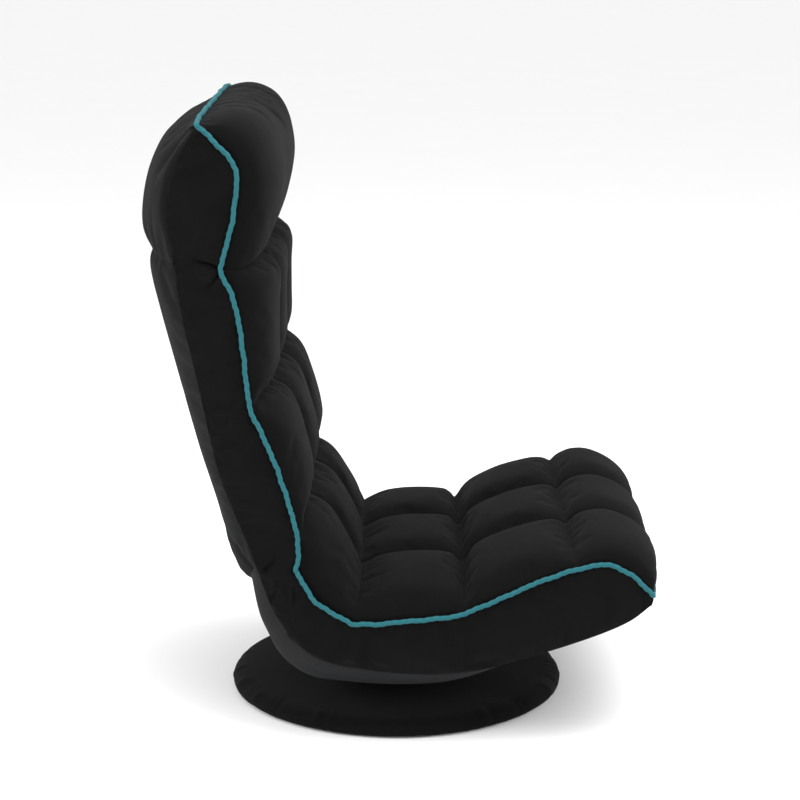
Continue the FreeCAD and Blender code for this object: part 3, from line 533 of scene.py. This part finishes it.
def quilt_run(name, row_names, groove, tucked=(0, 0)):
    """groove is the depth at the column seams, tucked that of the first and the last seam, in mm."""
    edge, crown, seams = [], [], [0]
    for row in row_names:
        count = max(8, round(line_length(rows[row]["crown"]) / cell_length))
        first = 1 if edge else 0
        edge.extend(curve_through(rows[row]["edge"], count)[first:])
        crown.extend(curve_through(rows[row]["crown"], count)[first:])
        seams.append(seams[-1] + count)
    edge, crown = np.array(edge), np.array(crown)
    outward = outward_of(crown, row_names)
    along = len(edge) - 1
    depth = np.zeros(along + 1)
    for low, high in zip(seams, seams[1:]):
        t = np.linspace(0, 1, high - low + 1)
        depth[low:high + 1] = groove * (seam_share + (1 - seam_share) * np.sin(np.pi * t) ** puff_power)

    def place(u, v):
        k = np.rint(v * along).astype(int)
        x = (0.5 - u) * 2 * half_width
        out_part = np.clip((np.abs(x) - shoulder_from) / (half_width - shoulder_from), 0, 1)
        roll = (1 - out_part ** roll_power) ** (1 / roll_power)
        near = np.clip(1 - np.abs(np.abs(x) - seam_x) / groove_reach, 0, 1)
        yz = edge[k] + (crown[k] - edge[k]) * roll[:, None]
        yz -= outward[k] * (depth[k] * near ** groove_power)[:, None]
        pressed = row_press * np.isin(k, seams[1:-1]) + tucked[0] * (k == 0) + tucked[1] * (k == along)
        if groove > 0:
            pressed = np.maximum(pressed, column_press * (np.abs(np.abs(x) - seam_x) < 1))
        yz -= outward[k] * (pressed * roll)[:, None]
        return np.column_stack([x, yz])

    size = (2 * half_width / 1000, line_length(crown) / 1000)
    obj, uv = cloth_grid(name, cells_across, along, size, place, black_cloth)
    line = np.rint(uv[:, 1] * along).astype(int)
    column = np.rint(uv[:, 0] * cells_across).astype(int)
    pinned = np.isin(line, seams) | np.isin(column, (0, cells_across))
    if groove > 0:
        pinned |= np.isin(column, (cells_across // 3, cells_across - cells_across // 3))
    return obj, pinned


# %% [markdown]
# The seat cushion has three rows, the back two, and the head is one plain bolster. The soft crease row
# lies between seat and back.

# %% Seat, back, head and crease
seat_cushion, pinned = quilt_run("seat_cushion", ["rear", "center", "front"], groove=14)
fill_cloth(seat_cushion, pinned, pressure=4.0, slack=0.02, cap=0.010)
smooth_once(seat_cushion)
close_below(seat_cushion, drop=(0, 0.012, -0.022))
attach(seat_cushion, "seat")
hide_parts("seat_quilt_rear", "seat_quilt_middle", "seat_quilt_front")

back_cushion, pinned = quilt_run("back_cushion", ["upper", "middle"], groove=14, tucked=(8, 6))
fill_cloth(back_cushion, pinned, pressure=4.0, slack=0.02, cap=0.010)
smooth_once(back_cushion)
close_below(back_cushion, drop=(0, 0.022, 0))
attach(back_cushion, "back")
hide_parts("back_quilt_middle", "back_quilt_upper", "back_foam")

head_cushion, pinned = quilt_run("head_cushion", ["head"], groove=0, tucked=(0, 8))
fill_cloth(head_cushion, pinned, pressure=4.0, slack=0.018, cap=0.010)
smooth_once(head_cushion)
close_below(head_cushion, drop=(0, 0.012, -0.006))
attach(head_cushion, "back")
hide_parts("head_quilt")

crease_roll, pinned = quilt_run("crease_roll", ["crease"], groove=12, tucked=(6, 0))
fill_cloth(crease_roll, pinned, pressure=4.0, slack=0.02, cap=0.010)
smooth_once(crease_roll)
close_below(crease_roll, drop=(0, 0.006, -0.006))
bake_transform(crease_roll)
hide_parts("quilt_crease")

# %% [markdown]
# ## Covers between seams
# Side panels, rear cover, front panel and lining are single cloths sewn along two lines. Each is a
# grid between a side line and a middle line, or between a front line and a rear line. All but the
# thin lining are filled a little. A solid panel would look like a board.

# %% Side panels
def edge_line(*names):
    """The piping's line along those rows, smooth in each row and kinked at the seams between them."""
    parts = [curve_through(rows[name]["edge"], steps_per_row) for name in names]
    return np.concatenate([parts[0]] + [part[1:] for part in parts[1:]])


piping_line = edge_line("head", "upper", "middle")
seat_line = edge_line("crease", "rear", "center", "front")
gusset_line = [(133, 251), (137, 219), (139, 185), (141, 156)]
head_seam = [(251, 838), (275, 797), (288, 766), (293, 725), (285, 659)]
back_seam = [(285, 659), (276, 591), (259, 511), (245, 439), (232, 381), (218, 340), (200, 295), (184, 250)]
low_seam = [(184, 250), (173, 217), (164, 194), (141, 156)]
rear_seam = head_seam + back_seam[1:] + low_seam[1:]
seat_hem = [(146, 158), (121, 135), (102, 123), (48, 110), (-80, 104), (-190, 131), (-308, 176),
            (-340, 201)]

piping_x, hem_x = 272, 263
gusset_top, gusset_height = 246, 88
panel_wide = 120
seam_steps = 200

# Short folds in the side of the back, where the head seam and the hinge pull the cloth: two ends and a
# depth, in mm.
back_folds = [((222, 654), (256, 665), 10), ((224, 650), (240, 629), 7), ((172, 250), (156, 266), 4),
              ((166, 205), (153, 233), 3)]
fold_wide, fold_fade = 2.6, 0.85
ridge_share, ridge_away, ridge_wide = 0.25, 7, 3.5


def press_folds(obj, side, folds):
    """Each fold is a crease with a low ridge beside it. It fades towards its end."""
    co = points_of(obj)
    yz = co[:, 1:] * 1000
    for start, end, deep in folds:
        start, run = np.array(start, float), np.subtract(end, start).astype(float)
        t = np.clip((yz - start) @ run / (run @ run), 0, 1)
        away = np.linalg.norm(yz - start - t[:, None] * run, axis=1)
        ridge = ridge_share * np.exp(-((away - ridge_away) / ridge_wide) ** 2)
        press = np.exp(-(away / fold_wide) ** 2) - ridge
        co[:, 0] -= side * deep * (1 - fold_fade * t ** 2) * press / 1000
    set_points(obj, co)


def on_border(uv):
    """True for the grid points that are sewn down all round a cover."""
    return (uv < 1e-4).any(axis=1) | (uv > 1 - 1e-4).any(axis=1)


def side_cover(name, side, first, second, count, wide, bulge=3, drawn_in=0):
    """Cloth between two lines of the side view, on the sitter's left (side 1) or right (side -1). drawn_in
    brings the low end of the first line towards the middle, along the seam behind the hinge."""
    front, rear = evenly(first, count), evenly(second, count)
    x_line = piping_x - drawn_in * np.clip((gusset_top - front[:, 1]) / gusset_height, 0, 1)

    def place(u, v):
        k = np.rint(v * count).astype(int)
        yz = front[k] + (rear[k] - front[k]) * u[:, None]
        x = x_line[k] + (hem_x - x_line[k]) * u
        x += bulge * np.sin(np.pi * u) ** 0.7 * np.sin(np.pi * v) ** 0.3
        return np.column_stack([side * x, yz])

    size = (panel_wide / 1000, line_length(front) / 1000)
    obj, uv = cloth_grid(name, wide, count, size, place, black_cloth)
    if side < 0:
        obj.data.flip_normals()
    return obj, on_border(uv)


for side, word in ((1, "left"), (-1, "right")):
    front_line = np.concatenate([piping_line, curve_through(gusset_line, 20)[1:]])
    panel, pinned = side_cover("back_side_" + word, side, front_line, curve_through(rear_seam, seam_steps),
                               count=190, wide=24, drawn_in=6.5)
    fill_cloth(panel, pinned, pressure=2.0, slack=0.03, cap=0.006)
    smooth_once(panel)
    press_folds(panel, side, back_folds)
    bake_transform(panel)
    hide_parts("back_side_panel_" + word)
    top_line = np.concatenate([[(139, gusset_top)], seat_line[2:]])
    panel, pinned = side_cover("seat_side_" + word, side, top_line, curve_through(seat_hem, seam_steps),
                               count=90, wide=18)
    panel.data.flip_normals()
    fill_cloth(panel, pinned, pressure=2.0, slack=0.03, cap=0.006)
    smooth_once(panel)
    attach(panel, "seat")
    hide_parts("seat_side_panel_" + word)

# %% [markdown]
# The rear is one crowned cloth with a tuck below the head. Its loose lower end hangs behind the hinge.

# %% Rear cover, flap, front panel and lining
def crowned_cover(name, sides, middle, count, half, power, material=black_cloth,
                  flat=(0.0, 0.0)):
    """Cloth from one side line over the middle line to the other side. half is half its width in mm. flat is
    the share of the width that keeps the middle line, at the first end and at the last."""
    wide = 60
    change_from, change_over = 0.66, 0.24
    edge, crown = curve_through(sides, count), curve_through(middle, count)

    def place(u, v):
        k = np.rint(v * count).astype(int)
        x = (0.5 - u) * 2 * half
        t = np.clip((v - change_from) / change_over, 0, 1)
        level = flat[0] + (flat[1] - flat[0]) * t * t * (3 - 2 * t)
        far = np.clip((np.abs(x) / half - level) / (1 - level), 0, 1)
        return np.column_stack([x, edge[k] + (crown[k] - edge[k]) * (1 - far ** power)[:, None]])

    size = (2 * half / 1000, line_length(crown) / 1000)
    obj, uv = cloth_grid(name, wide, count, size, place, material)
    return obj, on_border(uv)


head_rear, pinned = crowned_cover(
    "head_rear", head_seam[::-1],
    [(335, 656), (343, 668), (338, 720), (326, 767), (301, 815), (279, 836), (251, 841)],
    count=36, half=hem_x, power=2.4)
fill_cloth(head_rear, pinned, pressure=3.0, slack=0.03, cap=0.008)
smooth_once(head_rear)
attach(head_rear, "back")
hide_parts("head_rear_pad")

back_rear, pinned = crowned_cover(
    "back_rear", back_seam[::-1],
    [(237, 262), (250, 325), (285, 451), (318, 575), (334, 645), (332, 656)],
    count=66, half=hem_x, power=2.4)
fill_cloth(back_rear, pinned, pressure=3.0, slack=0.03, cap=0.008)
smooth_once(back_rear)
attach(back_rear, "back")
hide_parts("back_rear_pad")

inside_x = 262
rear_flap, pinned = crowned_cover(
    "rear_flap_cloth", [(179, 243), (184, 256), (189, 272), (196, 290)],
    [(209, 192), (230, 221), (239, 243), (242, 262), (243, 284)],
    count=24, half=inside_x, power=2.6)
fill_cloth(rear_flap, pinned, pressure=2.0, slack=0.04, cap=0.006)
smooth_once(rear_flap)
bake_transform(rear_flap)
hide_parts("rear_flap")

front_half = 268
front_panel, pinned = crowned_cover(
    "front_panel_cloth", [(-340, 217), (-341, 209), (-338, 200)],
    [(-345, 217), (-350, 205), (-346, 194), (-338, 187)],
    count=10, half=front_half, power=4.0)
fill_cloth(front_panel, pinned, pressure=2.0, slack=0.04, cap=0.005)
smooth_once(front_panel)
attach(front_panel, "seat")
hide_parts("seat_front_panel")

lining_sides = [(-336, 202), (-307, 180), (-190, 135), (-80, 108), (48, 114), (101, 127), (119, 139),
                (138, 156), (161, 196), (170, 219), (178, 245), (184, 259)]
lining_middle = [(-338, 187), (-240, 137), (-80, 55), (88, 54), (118, 63), (145, 87), (163, 116), (174, 145),
                 (184, 170), (190, 196), (193, 214), (196, 230)]
lining, _ = crowned_cover("seat_lining", lining_sides, lining_middle, count=100, half=inside_x, power=1.5,
                          material=lining_cloth, flat=(0.55, 0.83))
opening_half = 0.107
bm = bmesh.new()
bm.from_mesh(lining.data)
middles = [(face, face.calc_center_median()) for face in bm.faces]
over_plate = [face for face, middle in middles if max(abs(middle.x), abs(middle.y)) < opening_half]
bmesh.ops.delete(bm, geom=over_plate, context="FACES")
bm.to_mesh(lining.data)
bm.free()
smooth_once(lining)
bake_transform(lining)
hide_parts("seat_bottom_cover")
print("rear, flap, front panel and lining made")

# %% [markdown]
# ## Twisted cord piping
# The piping is a cord of three twisted yarns sewn along the edge. A three-lobed ring is turned a little
# at each step along the line. The rings are joined face by face, so that each face knows its place
# along and round the cord. Where seat and back meet, the seat cord follows the crease row.

# %% Piping cords
cord_radius = 0.0031
cord_pitch = 0.011
cord_x = 275.0
cord_step = 1.5
lobes, lobe_share = 3, 0.16
sides_round = 12
smoothing_rounds = 6
dip_reach, corner_power = 14, 6


def cord_tube(name, line):
    p = np.array(line, float) / 1000
    run = np.concatenate([[0], np.cumsum(np.linalg.norm(np.diff(p, axis=0), axis=1))])
    tangent = np.gradient(p, axis=0)
    tangent /= np.linalg.norm(tangent, axis=1, keepdims=True)
    angle = np.arange(sides_round) * 2 * np.pi / sides_round
    bm = bmesh.new()
    layer = bm.loops.layers.uv.new("cloth")
    spin_around = np.array([1.0, 0, 0])
    rings = []
    for k, (point, ahead) in enumerate(zip(p, tangent)):
        normal = spin_around - ahead * (spin_around @ ahead)
        normal /= np.linalg.norm(normal)
        spin_around = normal
        other = np.cross(ahead, normal)
        twist = 2 * np.pi * run[k] / cord_pitch
        reach = cord_radius * (1 + lobe_share * np.cos(lobes * (angle - twist / lobes)))
        rings.append([bm.verts.new(point + r * (math.cos(a) * normal + math.sin(a) * other))
                      for a, r in zip(angle, reach)])
    for k, (low, high) in enumerate(zip(rings, rings[1:])):
        for i in range(sides_round):
            j = (i + 1) % sides_round
            face = bm.faces.new((low[i], low[j], high[j], high[i]))
            face.smooth = True
            corners = ((k, i), (k, i + 1), (k + 1, i + 1), (k + 1, i))
            for loop, (step, turn) in zip(face.loops, corners):
                loop[layer].uv = (run[step], turn * 2 * math.pi * cord_radius / sides_round)
    for ring in (rings[0], rings[-1]):
        bm.faces.new(ring)
    bmesh.ops.recalc_face_normals(bm, faces=bm.faces)
    mesh = bpy.data.meshes.new(name)
    bm.to_mesh(mesh)
    bm.free()
    obj = bpy.data.objects.new(name, mesh)
    scene.collection.objects.link(obj)
    mesh.materials.append(teal_yarn)
    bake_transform(obj)
    return obj


def wavy(line, seed, size=0.35):
    """Small uneven waves, as a hand-guided seam has. size is their height in mm."""
    p = np.array(line, float)
    run = np.concatenate([[0], np.cumsum(np.linalg.norm(np.diff(p, axis=0), axis=1))])
    drawn = np.random.default_rng(seed)
    for wave_length in (31.0, 47.0, 83.0):
        phase = drawn.uniform(0, 6.28, 3)
        p += size * np.sin(2 * np.pi * run[:, None] / wave_length + phase)
    return p


def piping_path(side_line, corner, middle, dip, seed):
    """Up one side, across, and down the other. The crossing bows from the corner to the middle, and dips at
    the two column seams. Corner and middle are (y, z)."""
    sampled = evenly(side_line, int(line_length(side_line) / cord_step))
    for _ in range(smoothing_rounds):
        sampled[1:-1] = (sampled[:-2] + 2 * sampled[1:-1] + sampled[2:]) / 4
    left = np.column_stack([np.full(len(sampled), cord_x), sampled])
    x = np.linspace(cord_x, -cord_x, int(2 * cord_x / cord_step))[1:-1]
    near = np.exp(-((np.abs(x) - seam_x) / dip_reach) ** 2)
    bow = 1 - (np.abs(x) / cord_x) ** corner_power
    cross = np.column_stack([x, corner[0] + (middle[0] - corner[0]) * bow,
                             corner[1] + (middle[1] - corner[1]) * bow - dip * near])
    right = left[::-1] * [-1, 1, 1]
    return wavy(np.concatenate([left, cross, right]), seed)


seat_path = piping_path(seat_line, corner=(-340, 217), middle=(-347, 217), dip=3.5, seed=4)
seat_cord = cord_tube("seat_piping_cord", seat_path)
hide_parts("seat_piping")
back_path = piping_path(piping_line[::-1], corner=(251, 838), middle=(252, 842), dip=0, seed=9)
back_cord = cord_tube("back_piping_cord", back_path)
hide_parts("back_piping")
print("piping:", len(seat_cord.data.polygons) + len(back_cord.data.polygons), "faces")

# %% [markdown]
# ## Fabric cover of the base
# The round base wears a fabric cover drawn over a padded disc and hemmed underneath. Its section is
# spun about the swivel axis, then small puckers are pressed in near the rim, where the hem gathers it.
# A simulation would need the disc inside as an obstacle, and the puckers are too small to repay it.

# %% Base cover
pucker_count = 46
pucker_rise, pucker_spread = 0.0028, 0.006
rim_from, rim_wide = 0.20, 0.036
hem_height = 0.003
slow_wave = 0.0006
section = curve_through([(94, 33.0), (120, 30.5), (160, 28.0), (206, 25.5), (226, 22.5), (235, 16.0),
                         (238, 9.0), (236, 3.5), (228, 1.6), (206, 1.4)], 60)
bm = bmesh.new()
line = [bm.verts.new((r / 1000, 0, z / 1000)) for r, z in section]
rail = [bm.edges.new(pair) for pair in zip(line, line[1:])]
bmesh.ops.spin(bm, geom=line + rail, cent=(0, 0, 0), axis=(0, 0, 1), angle=2 * math.pi, steps=360,
               use_merge=True)
bmesh.ops.remove_doubles(bm, verts=bm.verts, dist=1e-6)
bmesh.ops.recalc_face_normals(bm, faces=bm.faces)
drawn = np.random.default_rng(21)
puckers = [(drawn.uniform(0, 2 * math.pi), drawn.uniform(0.012, 0.035),
            drawn.uniform(0.4, 1.0), drawn.uniform(0.2, 1.0)) for _ in range(pucker_count)]
layer = bm.loops.layers.uv.new("cloth")
for vert in bm.verts:
    turn = math.atan2(vert.co.y, vert.co.x)
    reach = math.hypot(vert.co.x, vert.co.y)
    rim = max(0.0, min(1.0, (reach - rim_from) / rim_wide))
    lift = 0.0
    for middle, wide, tall, long in puckers:
        away = (turn - middle + math.pi) % (2 * math.pi) - math.pi
        up_or_in = 1 if long > 0.55 else -0.8
        lift += tall * math.exp(-(away / wide) ** 2) * up_or_in * max(0.0, rim - 0.5 * long) ** 0.7
    if vert.co.z > hem_height:
        vert.co.z += pucker_rise * lift + slow_wave * math.sin(5 * turn + 1) * rim
        vert.co.x *= 1 + pucker_spread * lift
        vert.co.y *= 1 + pucker_spread * lift
for face in bm.faces:
    face.smooth = True
    for loop in face.loops:
        loop[layer].uv = (loop.vert.co.x, loop.vert.co.y)
base_mesh = bpy.data.meshes.new("base_cloth")
bm.to_mesh(base_mesh)
bm.free()
base_cloth = bpy.data.objects.new("base_cloth", base_mesh)
scene.collection.objects.link(base_cloth)
base_mesh.materials.append(black_cloth)
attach(base_cloth, "base")
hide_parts("base_cover", "base_padding")
print("base cover:", len(base_mesh.polygons), "faces")

# %% [markdown]
# The floor is plain pale paper. A broad, faint noise keeps it from being one flat tone.

# %% Floor finish
paper, net, shader = start_material("pale_floor", (0.92, 0.92, 0.92), 0.9)
place = net.nodes.new("ShaderNodeTexCoord")
fleck = node(net, "ShaderNodeTexNoise", Scale=3.0, Detail=2.0)
net.links.new(place.outputs["Object"], fleck.inputs["Vector"])
net.links.new(ramp_between(net, fleck.outputs["Fac"], (0.91,) * 3, (0.93,) * 3), shader.inputs["Base Color"])
floor_mesh.materials.append(paper)
print("floor:", paper.name)
